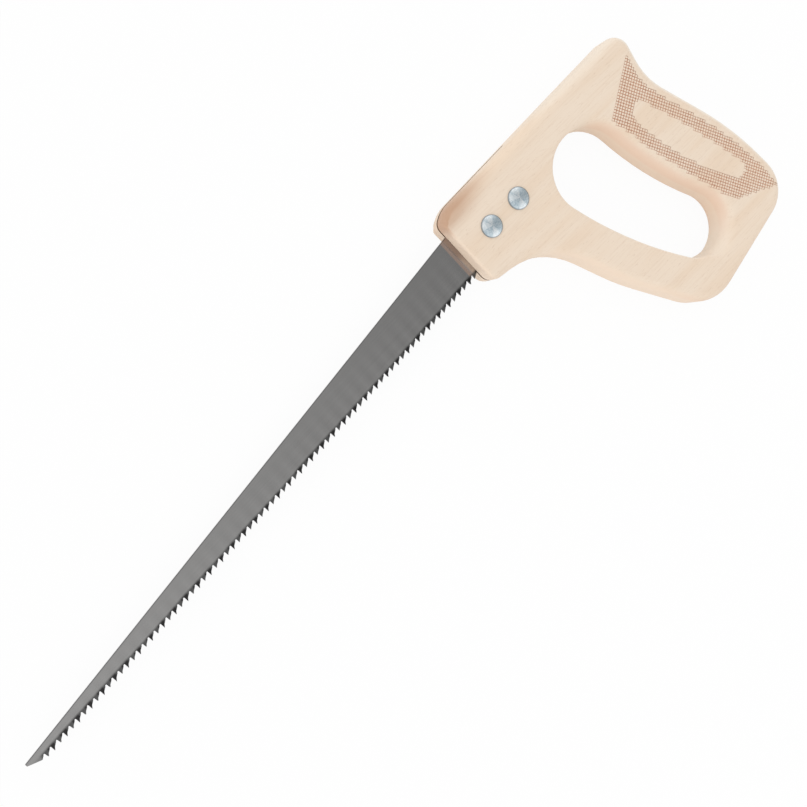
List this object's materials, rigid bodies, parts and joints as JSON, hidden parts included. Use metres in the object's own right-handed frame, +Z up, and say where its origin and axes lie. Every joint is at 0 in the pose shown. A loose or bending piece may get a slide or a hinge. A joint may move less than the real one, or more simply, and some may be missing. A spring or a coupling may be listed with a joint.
{
  "type": "keyhole saw",
  "caption": "Keyhole saw with a narrow tapered toothed blade fixed in a closed wooden handle by domed saw bolts, lying flat.",
  "frame": {"origin": "middle of the saw's outline seen from above, on the plane of the lower cheek", "axes": "+X along the spine from the blade's point towards the handle, +Y from the teeth towards the back, +Z up from the lower cheek to the cheek with the bolt heads"},
  "size_m": [0.4562, 0.1344, 0.0219],
  "materials": {
    "beech": "satin lacquer",
    "saw_steel": "ground satin",
    "bolt_zinc": "turned, zinc plated"
  },
  "bodies": {
    "root": {"handle": "beech", "blade": "saw_steel", "saw_bolt_front": "bolt_zinc", "saw_bolt_rear": "bolt_zinc", "saw_nut_front": "bolt_zinc", "saw_nut_rear": "bolt_zinc"}
  },
  "joints": []
}
